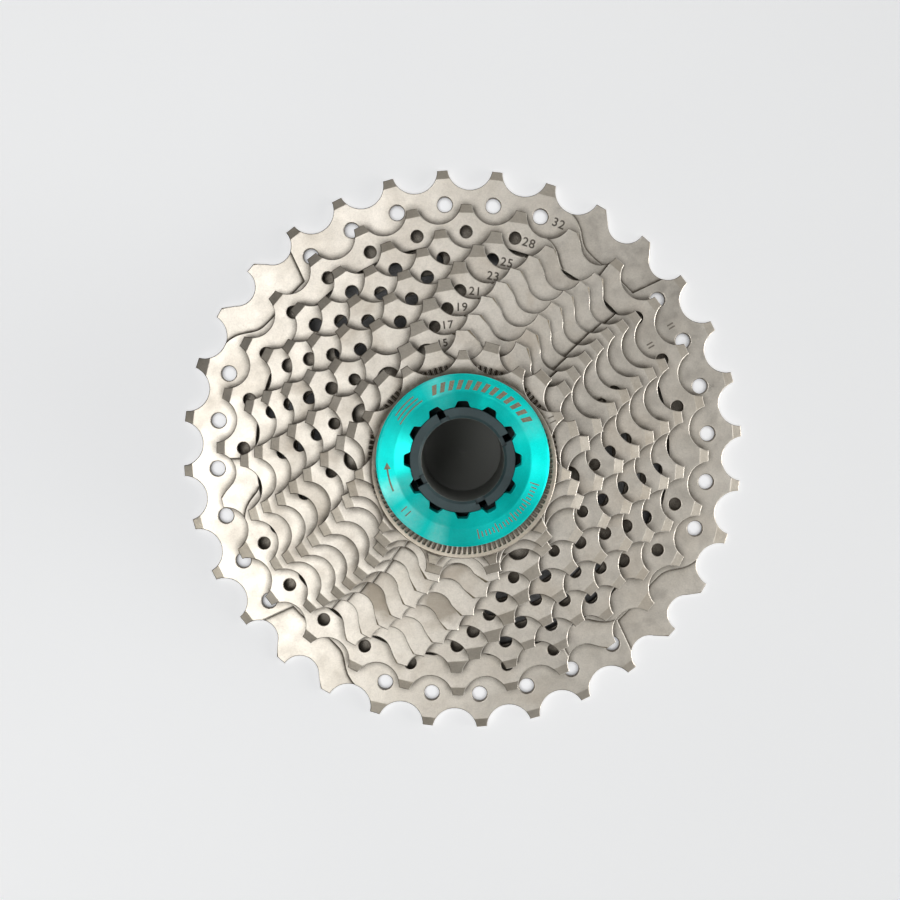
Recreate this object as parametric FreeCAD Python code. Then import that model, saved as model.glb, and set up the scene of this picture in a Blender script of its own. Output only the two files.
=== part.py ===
import FreeCAD, Part
import math
import os

# Eleven-speed bicycle cassette on a splined transport core.  Millimetres and degrees.
# +Z runs along the cassette axis from the largest sprocket to the lockring.
# The origin is on that axis, in the plane of the back (spoke side) face of the largest sprocket.
# Front faces look towards +Z; clockwise and counter-clockwise are as seen from +Z.

Vector = FreeCAD.Vector
AXIS_POINT = Vector(0, 0, 0)
AXIS = Vector(0, 0, 1)

# ---------------------------------------------------------------- shared dimensions
CHAIN_PITCH = 12.7
SPROCKET_SPACING = 3.74  # from one sprocket to the next
PLATE_T = 1.60
GAP = 0.01               # axial gap between pieces that come apart
OVER = 1.0               # how far cutters run past the faces they cut

# teeth: (tip circle above pitch circle, valley radius, angle of tooth 0)
SPROCKETS = {
    32: (1.18, 5.30, 37.84),
    28: (0.88, 5.30, 37.62),
    25: (0.92, 5.28, 38.09),
    23: (1.16, 5.25, 38.67),
    21: (1.01, 5.25, 39.56),
    19: (1.18, 5.22, 39.17),
    17: (1.24, 5.20, 38.69),
    15: (0.92, 5.15, 37.05),
    13: (1.28, 5.15, 34.49),
    12: (1.15, 5.10, 45.33),
    11: (0.75, 5.10, 24.42),
}
TEETH = list(SPROCKETS)
LAST_RIVETED = TEETH.index(15)

SPLINES = 9
SPLINE_MAJOR_R = 17.40   # bottom of the recesses between the inward lugs
SPLINE_MINOR_R = 16.10   # tips of the inward lugs
LUG_W = 4.20             # eight equal lugs
KEY_LUG_W = 3.00         # one narrow lug, so a sprocket fits in one position only

RIVET_R = 2.60 / 2
RIVET_HEAD_R = 3.80 / 2
RIVET_HEAD_T = 0.60
RIVET_PLAY = 0.03
RIVET_CIRCLE_R = 20.0
RIVET_ANGLES = [25.0, 145.0, 265.0]
RIVET_HOLE_R = RIVET_R + RIVET_PLAY


# ---------------------------------------------------------------- helpers
def polar(radius, angle, z=0.0):
    a = math.radians(angle)
    return Vector(radius * math.cos(a), radius * math.sin(a), z)


def beside_ray(angle, lateral, radial, z):
    """Point at radial along the ray at angle, moved sideways by lateral (counter-clockwise > 0)."""
    a = math.radians(angle)
    return Vector(radial * math.cos(a) - lateral * math.sin(a),
                  radial * math.sin(a) + lateral * math.cos(a), z)


def line(start, end):
    return Part.LineSegment(start, end).toShape()


def arc(start, middle, end):
    return Part.Arc(start, middle, end).toShape()


def polygon_face(points):
    return Part.Face(Part.makePolygon(points + [points[0]]))


def cylinder(radius, z0, z1, x=0.0, y=0.0):
    return Part.makeCylinder(radius, z1 - z0, Vector(x, y, z0))


def cone(radius0, radius1, height, z, x=0.0, y=0.0):
    return Part.makeCone(radius0, radius1, height, Vector(x, y, z))


def ring(outer_r, inner_r, z0, z1):
    return cylinder(outer_r, z0, z1).cut(cylinder(inner_r, z0 - 1, z1 + 1))


def turned_box(length, width, height, corner, angle):
    box = Part.makeBox(length, width, height, corner)
    box.rotate(AXIS_POINT, AXIS, angle)
    return box


def rim_skim(rim_r, z_top, height, cone_r0, cone_r1):
    """Cutter that skims 0.0001 mm off an outer rim, where the rim stands outside the cone."""
    return ring(rim_r + 1, rim_r - 0.0001, z_top - height, z_top + 1).cut(
        cone(cone_r0, cone_r1, height, z_top - height))


def radial_grooves(count, profile, inner_r, outer_r):
    """Evenly spaced groove cutters; profile lists (lateral, z) points."""
    grooves = []
    for k in range(count):
        angle = 360.0 * k / count
        face = polygon_face([beside_ray(angle, lateral, inner_r, z) for lateral, z in profile])
        grooves.append(face.extrude(polar(outer_r - inner_r, angle)))
    return grooves


def back_z(i):
    return SPROCKET_SPACING * i


def front_z(i):
    return SPROCKET_SPACING * i + PLATE_T


def spline_solid(major_r, minor_r, side_play, z0, z1):
    """Prism of the nine-spline profile; side_play widens each groove on both sides."""
    edges = []
    for k in range(SPLINES):
        half = (KEY_LUG_W if k == 0 else LUG_W) / 2 + side_play
        next_half = (KEY_LUG_W if k + 1 == SPLINES else LUG_W) / 2 + side_play
        lug = 360.0 * k / SPLINES
        next_lug = 360.0 * (k + 1) / SPLINES
        minor_start = lug - math.degrees(math.asin(half / minor_r))
        minor_end = lug + math.degrees(math.asin(half / minor_r))
        major_start = lug + math.degrees(math.asin(half / major_r))
        major_end = next_lug - math.degrees(math.asin(next_half / major_r))
        next_minor = next_lug - math.degrees(math.asin(next_half / minor_r))
        edges.append(arc(polar(minor_r, minor_start, z0), polar(minor_r, lug, z0),
                         polar(minor_r, minor_end, z0)))
        edges.append(line(polar(minor_r, minor_end, z0), polar(major_r, major_start, z0)))
        edges.append(arc(polar(major_r, major_start, z0),
                         polar(major_r, (major_start + major_end) / 2, z0),
                         polar(major_r, major_end, z0)))
        edges.append(line(polar(major_r, major_end, z0), polar(minor_r, next_minor, z0)))
    return Part.Face(Part.Wire(edges)).extrude(Vector(0, 0, z1 - z0))


def largest_solid(shape):
    return max(shape.Solids, key=lambda solid: solid.Volume)


def export(shape, name):
    if not shape.isValid():
        shape.fix(1e-5, 1e-6, 1e-4)
    shape.exportStep("parts/" + name + ".step")


# ---------------------------------------------------------------- tooth outline
ROOT_DROP = 3.50           # pitch radius minus radius at the bottom of a tooth valley
SMALLEST_TIP_HALF_W = 0.85  # the smallest sprocket's tip width is given directly

# Long clockwise flank of a guiding tooth
SLOPE_W = 2.05             # from the tip corner to the foot of the slope, sideways
SLOPE_DROP = 2.65          # from the tip circle to the foot of the slope

# teeth: (teeth inside each recess, scale of the curved edge, angles of the straight edges)
RAMPS = {
    32: (2, 1.00, [42.0, 131.95, 221.6, 311.5]),
    28: (1, 0.88, [52.1, 181.6, 297.3]),
    25: (2, 0.86, [42.24, 230.0]),
    23: (2, 0.82, [43.19, 231.83]),
    21: (2, 0.80, [43.79, 233.3]),
    19: (2, 0.76, [43.96, 234.67]),
    17: (2, 0.70, [43.46, 236.0]),
    15: (2, 0.66, [42.2, 235.1]),
    13: (2, 0.55, [42.2, 236.5]),
}
NO_RAMPS = (0, 1.0, [])


def circles(teeth):
    """Radii of the tip and root circles."""
    pitch_r = CHAIN_PITCH / (2 * math.sin(math.pi / teeth))
    return pitch_r + SPROCKETS[teeth][0], pitch_r - ROOT_DROP


def tooth_angle(teeth, k):
    return SPROCKETS[teeth][2] + 360.0 * k / teeth


def tooth_after(teeth, angle):
    """Index of the first tooth centre past an angle."""
    return int(math.ceil((angle - SPROCKETS[teeth][2]) * teeth / 360.0 - 1e-6))


def guiding_teeth(teeth):
    """Teeth that stand inside a ramp recess."""
    count, _, angles = RAMPS.get(teeth, NO_RAMPS)
    return {(tooth_after(teeth, a) + j) % teeth for a in angles for j in range(count)}


def teeth_past_ramps(teeth):
    """First tooth counter-clockwise of each ramp recess."""
    count, _, angles = RAMPS.get(teeth, NO_RAMPS)
    return {(tooth_after(teeth, a) + count) % teeth for a in angles}


def tip_half_angle(teeth):
    tip_r, root_r = circles(teeth)
    if teeth == TEETH[-1]:
        return math.degrees(SMALLEST_TIP_HALF_W / tip_r)
    # the valley arc, centred on the valley line, meets the tip circle at the tip corner
    valley_r = SPROCKETS[teeth][1]
    centre_r = root_r + valley_r
    cosine = (tip_r ** 2 + centre_r ** 2 - valley_r ** 2) / (2 * tip_r * centre_r)
    return 180.0 / teeth - math.degrees(math.acos(cosine))


def outline_face(teeth):
    tip_r, root_r = circles(teeth)
    half = tip_half_angle(teeth)
    step = 360.0 / teeth
    guiding = guiding_teeth(teeth)
    edges = []
    for k in range(teeth):
        angle = tooth_angle(teeth, k)
        next_angle = angle + step
        tip_end = polar(tip_r, angle + half)
        next_tip = polar(tip_r, next_angle - half)
        edges.append(line(polar(tip_r, angle - half), tip_end))
        if (k + 1) % teeth in guiding:
            # the valley ends at the foot of the next tooth's long straight slope
            foot = beside_ray(next_angle, -(math.radians(half) * tip_r + SLOPE_W),
                              tip_r - SLOPE_DROP, 0)
            middle = polar(root_r + 0.05, angle + step / 2 - step / 16)
            edges.append(arc(tip_end, middle, foot))
            edges.append(line(foot, next_tip))
        else:
            edges.append(arc(tip_end, polar(root_r, angle + step / 2), next_tip))
    return Part.Face(Part.Wire(edges))


# ---------------------------------------------------------------- tooth bevels
# Each bevel: two (lateral, height above the tip circle) points on its edge line, then its slope.
# Material to the left of the line, going from the first point to the second, is removed.
PLAIN_BEVEL = ((2.0, -2.0), (-2.0, -2.0), 0.29)
TWISTED_BEVEL = ((2.0, -2.05), (-2.0, -2.05), 0.26)
TWISTED_CORNER = ((0.9, 0.3), (-2.5, -2.5), 0.42)      # on the clockwise tip corner
PAST_RAMP_BEVEL = ((2.2, -3.05), (-2.2, -2.65), 0.27)
GUIDING_BEVEL = ((-0.65, 0.15), (-3.70, -2.75), 0.50)  # along the long clockwise slope
BEVEL_REACH = 4.0
BEVEL_HEADROOM = 0.8


def bevel_cutter(angle, tip_r, bevel, z_face, end_over=2.5):
    """Material above a plane that falls away from the bevel's edge line at height z_face."""
    (lateral0, rise0), (lateral1, rise1), slope = bevel
    start = beside_ray(angle, lateral0, tip_r + rise0, z_face)
    along = beside_ray(angle, lateral1, tip_r + rise1, z_face).sub(start)
    length = along.Length
    along.normalize()
    start = start.sub(along * end_over)

    def section_point(across, up):
        return start.add(Vector(-along.y * across, along.x * across, up))

    section = [section_point(0, 0),
               section_point(BEVEL_REACH, -slope * BEVEL_REACH),
               section_point(BEVEL_REACH, BEVEL_HEADROOM),
               section_point(0, BEVEL_HEADROOM)]
    return polygon_face(section).extrude(along * (length + 2 * end_over))


def tooth_bevels(teeth, z_front):
    tip_r = circles(teeth)[0]
    guiding = guiding_teeth(teeth)
    past_ramps = teeth_past_ramps(teeth)
    cutters = []
    for k in range(teeth):
        angle = tooth_angle(teeth, k)
        turn = angle % 360.0
        if k in guiding:
            cutters.append(bevel_cutter(angle, tip_r, GUIDING_BEVEL, z_front - RAMP_DEPTH,
                                        end_over=0.8))
        elif k in past_ramps:
            cutters.append(bevel_cutter(angle, tip_r, PAST_RAMP_BEVEL, z_front))
        elif teeth in RAMPS and (turn < 42 or turn > 285 or 150 < turn < 222):
            cutters.append(bevel_cutter(angle, tip_r, TWISTED_BEVEL, z_front))
            cutters.append(bevel_cutter(angle, tip_r, TWISTED_CORNER, z_front))
        else:
            cutters.append(bevel_cutter(angle, tip_r, PLAIN_BEVEL, z_front))
    return cutters


# ---------------------------------------------------------------- shift ramps
RAMP_DEPTH = 0.55        # recess in the front face
RAMP_TILT = 1.8          # lean of the straight edge on the largest sprocket
RAMP_TIP_OVER = 1.5      # how far the cutter runs outside the tip circle
CURVE_SHIFT = -1.2       # sideways shift of the curved edge on the others, before scaling
# Curved edge on the largest sprocket, from its inner end out to the tooth valley:
# (distance across the valley centre line, distance outside the root circle)
RAMP_CURVE = [
    (-12.24, -8.18), (-11.35, -7.93), (-9.85, -7.45), (-8.30, -6.86), (-6.96, -6.18),
    (-5.85, -5.14), (-4.76, -3.58), (-3.76, -2.24), (-2.65, -1.20), (-1.22, -0.30),
    (-0.29, 0.05),
]


def ramp_cutter(teeth, z_front, angle, count, scale):
    tip_r, root_r = circles(teeth)
    outer_r = tip_r + RAMP_TIP_OVER
    valley = tooth_angle(teeth, tooth_after(teeth, angle) + count - 1) + 180.0 / teeth
    z = z_front - RAMP_DEPTH
    largest = teeth == TEETH[0]
    tilt = RAMP_TILT if largest else 0.0
    shift = 0.0 if largest else CURVE_SHIFT * scale
    curve = [beside_ray(valley, lateral * scale + shift, root_r + radial * scale, z)
             for lateral, radial in RAMP_CURVE]
    inner_r = math.hypot(curve[0].x, curve[0].y)
    curve_angle = math.degrees(math.atan2(curve[0].y, curve[0].x)) % 360.0

    # the straight edge swings by the tilt between the root circle and its inner end
    swing = tilt * (outer_r - 0.5 * (root_r + inner_r)) / (root_r - inner_r)
    straight_outer = polar(outer_r, angle - swing, z)
    inner_angle = angle + tilt / 2
    straight_inner = polar(inner_r, inner_angle, z)
    inner_span = (curve_angle - inner_angle) % 360.0
    spline = Part.BSplineCurve()
    spline.interpolate(curve)
    valley_outer = polar(outer_r, valley, z)
    outer_middle = angle + ((valley - angle) % 360.0) / 2
    edges = [
        line(straight_outer, straight_inner),
        arc(straight_inner, polar(inner_r, inner_angle + inner_span / 2, z), curve[0]),
        spline.toShape(),
        line(curve[-1], valley_outer),
        arc(valley_outer, polar(outer_r, outer_middle, z), straight_outer),
    ]
    return Part.Face(Part.Wire(edges)).extrude(Vector(0, 0, RAMP_DEPTH + 0.6))


# ---------------------------------------------------------------- holes and windows
# Lightening holes, one behind each tooth outside the ramps and gaps.
# teeth: (radius of the circle of centres, hole diameter, [(from, to) angles without holes])
HOLES = {
    32: (58.0, 3.56, []),
    28: (51.2, 2.8, [(45, 70), (185, 198), (262, 275), (301, 327), (352, 366)]),
    25: (44.9, 3.0, [(2, 76), (175, 262)]),
    23: (41.05, 2.85, [(0, 95), (188, 266)]),
    21: (36.95, 2.8, [(30, 85), (203, 271)]),
    19: (32.95, 2.65, [(30, 88), (181, 276)]),
    17: (29.35, 2.4, [(10, 93), (115, 131), (200, 282)]),
    15: (23.6, 4.8, [(0, 100), (190, 290), (315, 335)]),
}
HOLE_CHAMFER = 0.12
HOLE_CHAMFER_OVER = 0.3

# teeth: (inner radius, outer radius) of the web windows between the arms
WINDOWS = {32: (27.5, 47.0), 28: (27.5, 48.3), 25: (27.0, 41.6), 23: (26.5, 37.9), 21: (26.0, 34.0)}
ARMS = 6
ARM_W = 9.0
FIRST_ARM_ANGLE = 30
WINDOW_FILLET_MAX = 2.2
WINDOW_FILLET_RATIO = 0.28  # largest fillet as a part of the window's radial width


def hole_cutters(teeth, z_back, z_front):
    circle_r, diameter, gaps = HOLES[teeth]
    guiding = guiding_teeth(teeth)
    hole_r = diameter / 2
    chamfer = HOLE_CHAMFER + HOLE_CHAMFER_OVER
    cutters = []
    for k in range(teeth):
        turn = tooth_angle(teeth, k) % 360.0
        in_gap = any(low <= turn <= high or low <= turn + 360.0 <= high for low, high in gaps)
        if k in guiding or in_gap:
            continue
        centre = polar(circle_r, tooth_angle(teeth, k))
        cutters.append(cylinder(hole_r, z_back - OVER, z_front + OVER, centre.x, centre.y))
        cutters.append(cone(hole_r, hole_r + chamfer, chamfer, z_front - HOLE_CHAMFER,
                            centre.x, centre.y))
    return cutters


def window_cutters(teeth, z_back, z_front):
    inner_r, outer_r = WINDOWS[teeth]
    z0, z1 = z_back - OVER, z_front + OVER
    height = z1 - z0
    arms = [turned_box(80, ARM_W, height + 2 * OVER, Vector(5, -ARM_W / 2, z0 - OVER),
                       FIRST_ARM_ANGLE + 360.0 * k / ARMS) for k in range(ARMS)]
    fillet_r = min(WINDOW_FILLET_MAX, (outer_r - inner_r) * WINDOW_FILLET_RATIO)
    cutters = []
    for window in ring(outer_r, inner_r, z0, z1).cut(arms).Solids:
        upright = [e for e in window.Edges
                   if abs(abs(e.Vertexes[0].Z - e.Vertexes[-1].Z) - height) < 1e-6
                   and len(e.Vertexes) == 2]
        # a window whose corners cannot be rounded keeps them sharp
        try:
            rounded = window.makeFillet(fillet_r, upright)
            cutters.append(rounded if rounded.isValid() and rounded.Volume > 0 else window)
        except Exception:
            cutters.append(window)
    return cutters


# ---------------------------------------------------------------- rivets
SINK_OVER = 0.35         # how far a countersink runs past the face, also added to its mouth radius


def rivet_solid(angle):
    centre = polar(RIVET_CIRCLE_R, angle)
    z1 = front_z(LAST_RIVETED)
    body = cylinder(RIVET_R, 0.0, z1, centre.x, centre.y)
    back_head = cone(RIVET_HEAD_R, RIVET_R, RIVET_HEAD_T, 0.0, centre.x, centre.y)
    front_head = cone(RIVET_R, RIVET_HEAD_R, RIVET_HEAD_T, z1 - RIVET_HEAD_T, centre.x, centre.y)
    return body.fuse([back_head, front_head]).removeSplitter()


def rivets():
    return Part.makeCompound([rivet_solid(angle) for angle in RIVET_ANGLES])


def rivet_cutters(i):
    """Rivet holes of sprocket i, countersunk in the two outermost riveted faces."""
    mouth_r = RIVET_HEAD_R + RIVET_PLAY + SINK_OVER
    depth = RIVET_HEAD_T + SINK_OVER
    cutters = []
    for angle in RIVET_ANGLES:
        centre = polar(RIVET_CIRCLE_R, angle)
        cutters.append(cylinder(RIVET_HOLE_R, back_z(i) - OVER, front_z(i) + OVER,
                                centre.x, centre.y))
        if i == 0:
            cutters.append(cone(mouth_r, RIVET_HOLE_R, depth, -SINK_OVER, centre.x, centre.y))
        if i == LAST_RIVETED:
            cutters.append(cone(RIVET_HOLE_R, mouth_r, depth, front_z(i) - RIVET_HEAD_T,
                                centre.x, centre.y))
    return cutters


# ---------------------------------------------------------------- sprockets
COLLARS = {12: 19.4, 11: 18.3}   # teeth: radius of the integral collar on the back
COLLAR_OVERLAP = 0.5             # collar depth inside the plate

# V-grooves in the front face of the 12-tooth sprocket, just outside the 11-tooth collar
SERRATIONS = 104
SERRATION_DEPTH = 0.30
SERRATION_IN_R = COLLARS[11] + 0.2
SERRATION_OUT_R = COLLARS[11] + 2.0
SERRATION_HALF_RATIO = 0.36      # half width of a groove's mouth, in groove pitches
GROOVE_OVER = 0.05               # height of a groove cutter above the face


def serration_cutters(z_front):
    mean_r = (SERRATION_IN_R + SERRATION_OUT_R) / 2
    half = SERRATION_HALF_RATIO * 2 * math.pi * mean_r / SERRATIONS
    z_over = z_front + GROOVE_OVER
    profile = [(-half, z_over), (0, z_front - SERRATION_DEPTH), (half, z_over)]
    return radial_grooves(SERRATIONS, profile, SERRATION_IN_R, SERRATION_OUT_R)


def sprocket(i):
    teeth = TEETH[i]
    z_back, z_front = back_z(i), front_z(i)
    face = outline_face(teeth)
    face.translate(Vector(0, 0, z_back))
    body = face.extrude(Vector(0, 0, PLATE_T))
    if teeth in COLLARS:
        collar = cylinder(COLLARS[teeth], front_z(i - 1) + GAP, z_back + COLLAR_OVERLAP)
        body = body.fuse(collar).removeSplitter()

    cutters = tooth_bevels(teeth, z_front)
    count, scale, angles = RAMPS.get(teeth, NO_RAMPS)
    cutters += [ramp_cutter(teeth, z_front, angle, count, scale) for angle in angles]
    if teeth in HOLES:
        cutters += hole_cutters(teeth, z_back, z_front)
    if teeth in WINDOWS:
        cutters += window_cutters(teeth, z_back, z_front)
    if i <= LAST_RIVETED:
        cutters += rivet_cutters(i)
    # starts far enough back to clear the collars too
    cutters.append(spline_solid(SPLINE_MAJOR_R, SPLINE_MINOR_R, 0.0, z_back - 3.0, z_front + OVER))
    if teeth == 12:
        cutters += serration_cutters(z_front)
    return largest_solid(body.cut(cutters))


# ---------------------------------------------------------------- spacers
SPACER_R = 22.5
LOOSE_SPACER_R = 18.5
POCKETS = 18             # positions around the spacer; those near a rivet stay solid
POCKET_R = 1.35
POCKET_CIRCLE_R = 20.1
POCKET_FLOOR = 0.7
POCKET_RIVET_CLEARANCE = 12


def riveted_spacer(i):
    """Spacer in front of sprocket i, with round pockets open towards the next sprocket."""
    z0, z1 = front_z(i), back_z(i + 1)
    cutters = [spline_solid(SPLINE_MAJOR_R, SPLINE_MINOR_R, 0.0, z0 - OVER, z1 + OVER)]
    for angle in RIVET_ANGLES:
        centre = polar(RIVET_CIRCLE_R, angle)
        cutters.append(cylinder(RIVET_HOLE_R, z0 - OVER, z1 + OVER, centre.x, centre.y))
    for k in range(POCKETS):
        angle = 360.0 / POCKETS * k
        if min(abs((angle - r + 180) % 360 - 180) for r in RIVET_ANGLES) < POCKET_RIVET_CLEARANCE:
            continue
        centre = polar(POCKET_CIRCLE_R, angle)
        cutters.append(cylinder(POCKET_R, z0 + POCKET_FLOOR, z1 + OVER, centre.x, centre.y))
    return largest_solid(cylinder(SPACER_R, z0, z1).cut(cutters))


def loose_spacer(i):
    z0, z1 = front_z(i) + GAP, back_z(i + 1) - GAP
    bore = spline_solid(SPLINE_MAJOR_R, SPLINE_MINOR_R, 0.0, z0 - OVER, z1 + OVER)
    return largest_solid(cylinder(LOOSE_SPACER_R, z0, z1).cut(bore))


# ---------------------------------------------------------------- serrated lockring washer
WASHER_IN_R = 16.75
WASHER_OUT_R = 19.70
WASHER_T = 0.70
WASHER_Z0 = front_z(len(TEETH) - 1) + GAP
WASHER_Z1 = WASHER_Z0 + WASHER_T
WASHER_SKIM_H = 0.18
WASHER_SHIFT = Vector(0.30, -1.30, 0)  # the loose ring lies off centre
WASHER_GROOVE_IN_R = 16.9
WASHER_GROOVE_OUT_R = 18.75            # a smooth rim remains outside the grooves
WASHER_GROOVE_DEPTH = 0.42
WASHER_GROOVE_PITCH = 2 * math.pi * WASHER_GROOVE_OUT_R / SERRATIONS
WASHER_MOUTH_HALF = 0.30 * WASHER_GROOVE_PITCH
WASHER_FLOOR_HALF = 0.21 * WASHER_GROOVE_PITCH


def lockring_washer():
    z_over, z_floor = WASHER_Z1 + GROOVE_OVER, WASHER_Z1 - WASHER_GROOVE_DEPTH
    profile = [(-WASHER_MOUTH_HALF, z_over), (-WASHER_FLOOR_HALF, z_floor),
               (WASHER_FLOOR_HALF, z_floor), (WASHER_MOUTH_HALF, z_over)]
    skim = rim_skim(WASHER_OUT_R, WASHER_Z1, WASHER_SKIM_H,
                    WASHER_OUT_R, WASHER_OUT_R - WASHER_SKIM_H)
    washer = ring(WASHER_OUT_R, WASHER_IN_R, WASHER_Z0, WASHER_Z1).cut(
        [skim] + radial_grooves(SERRATIONS, profile, WASHER_GROOVE_IN_R, WASHER_GROOVE_OUT_R))
    washer.translate(WASHER_SHIFT)
    return largest_solid(washer)


# ---------------------------------------------------------------- lockring
LOCK_R = 18.37
LOCK_FLANGE_T = 1.75
LOCK_SLEEVE_LEN = 7.2
LOCK_THREAD_R = 15.25
LOCK_CREST_R = LOCK_THREAD_R - 0.02
LOCK_GROOVE_R = LOCK_THREAD_R - 0.54
LOCK_THREAD_PITCH = 1.0
LOCK_THREAD_LEAD = 0.5   # chamfered start of the sleeve
LOCK_THREAD_RUNOUT = 0.6  # least plain length under the flange
LOCK_CONE_R = 14.35
LOCK_CONE_DEPTH = 2.45
LOCK_SOCKET_R = 11.30
LOCK_BLANK_R = LOCK_SOCKET_R - 0.3  # bore before the socket is cut
LOCK_NOTCH_R = 12.55
LOCK_NOTCHES = 12
LOCK_NOTCH_FLAT = 4.0    # half angle of a notch's bottom
LOCK_NOTCH_MOUTH = 9.2   # half angle of a notch's mouth
SOCKET_POINTS = 240


def lockring_profile(z_end, z_flange, z_front):
    """Closed (radius, z) profile; the thread is a row of ring grooves."""
    profile = [(LOCK_BLANK_R, z_end), (LOCK_THREAD_R - 0.5, z_end)]
    z = z_end + LOCK_THREAD_LEAD
    profile.append((LOCK_CREST_R, z))
    while z + LOCK_THREAD_PITCH < z_flange - LOCK_THREAD_RUNOUT:
        profile += [(LOCK_CREST_R, z + 0.12), (LOCK_GROOVE_R, z + 0.44),
                    (LOCK_GROOVE_R, z + 0.56), (LOCK_CREST_R, z + 0.88)]
        z += LOCK_THREAD_PITCH
    # flange with its rounded outer rim, then the cone down to the bore
    profile += [
        (LOCK_CREST_R, z_flange),
        (LOCK_R - 0.25, z_flange),
        (LOCK_R, z_flange + 0.25),
        (LOCK_R, z_front - 0.42),
        (LOCK_R - 0.12, z_front - 0.18),
        (LOCK_R - 0.42, z_front - 0.03),
        (LOCK_R - 0.9, z_front),
        (LOCK_CONE_R + 0.25, z_front - 0.02),
        (LOCK_CONE_R, z_front - 0.10),
        (LOCK_BLANK_R, z_front - LOCK_CONE_DEPTH),
    ]
    return profile


def socket_radius(angle):
    """Tool socket radius: smooth steps between the socket and its notches."""
    notch = 360.0 / LOCK_NOTCHES
    off_centre = abs((angle + notch / 2) % notch - notch / 2)
    t = (LOCK_NOTCH_MOUTH - off_centre) / (LOCK_NOTCH_MOUTH - LOCK_NOTCH_FLAT)
    t = min(1.0, max(0.0, t))
    return LOCK_SOCKET_R + (LOCK_NOTCH_R - LOCK_SOCKET_R) * t * t * (3 - 2 * t)


def lockring():
    z_flange = WASHER_Z1 + GAP
    z_front = z_flange + LOCK_FLANGE_T
    z_end = z_flange - LOCK_SLEEVE_LEN
    points = [Vector(radius, 0, z) for radius, z in lockring_profile(z_end, z_flange, z_front)]
    body = polygon_face(points).revolve(AXIS_POINT, AXIS, 360)

    angles = [360.0 / SOCKET_POINTS * j for j in range(SOCKET_POINTS)]
    outline = Part.BSplineCurve()
    outline.interpolate([polar(socket_radius(a), a) for a in angles], PeriodicFlag=True)
    socket = Part.Face(Part.Wire([outline.toShape()]))
    socket.translate(Vector(0, 0, z_end - OVER))
    return largest_solid(body.cut(socket.extrude(Vector(0, 0, z_front - z_end + 2 * OVER))))


# ---------------------------------------------------------------- transport core
CORE_PLAY = 0.06         # to the sprocket splines, radially and on each side of a lug
CORE_SPLINE_R = SPLINE_MAJOR_R - CORE_PLAY
CORE_ROOT_R = SPLINE_MINOR_R - CORE_PLAY
CORE_SLEEVE_TOP = 38.20
CORE_THREAD_R = 15.32    # smooth bore around the lockring sleeve
CORE_LEAD = 0.35         # lead-in chamfer of that bore
CORE_WALL_IN_R = 13.90
CORE_WEB_Z0 = 29.4       # web that joins the sleeve to the neck
CORE_WEB_Z1 = 31.5
CORE_NECK_R = 11.20
CORE_TOP = 39.30
CORE_BORE_R = 8.85
CORE_RIBS = 6
CORE_RIB_W = 1.8
CORE_FIRST_RIB_ANGLE = 10
# the bore is blind: its floor is a cone, lowest in the middle
CORE_FLOOR_RIM_Z = 9.0
CORE_FLOOR_MID_Z = 5.0
# recess in the back end, under that floor, with a conical roof
CORE_RECESS_R = 8.0
CORE_RECESS_RIM_Z = 6.2
CORE_RECESS_MID_Z = 2.6
CORE_SLOT_ANGLES = [26.6, 115.5, 207.6, 294.8]
CORE_SLOT_W = 1.60
CORE_SLOT_LEN = 14.0
CORE_SLOT_IN_R = 9.75
CORE_LEDGE_IN_R = 7.3
CORE_LEDGE_LEN = 2.6
CORE_LEDGE_DEPTH = 1.2
CORE_LEDGE_EXTRA_W = 0.5  # all on the clockwise side
CORE_MOUTH_CHAMFER = (0.6, 0.5)  # radial, axial
CORE_SKIM_H = 0.4


def slot_cutters():
    """Deep slots in the outer part of the neck wall, each with a shallow ledge inside it."""
    cutters = []
    for angle in CORE_SLOT_ANGLES:
        cutters.append(turned_box(
            CORE_NECK_R + 0.05 - CORE_SLOT_IN_R, CORE_SLOT_W, CORE_SLOT_LEN + OVER,
            Vector(CORE_SLOT_IN_R, -CORE_SLOT_W / 2, CORE_TOP - CORE_SLOT_LEN), angle))
        cutters.append(turned_box(
            CORE_LEDGE_LEN, CORE_SLOT_W + CORE_LEDGE_EXTRA_W, CORE_LEDGE_DEPTH + OVER,
            Vector(CORE_LEDGE_IN_R, -CORE_SLOT_W / 2 - CORE_LEDGE_EXTRA_W,
                   CORE_TOP - CORE_LEDGE_DEPTH), angle))
    return cutters


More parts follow.
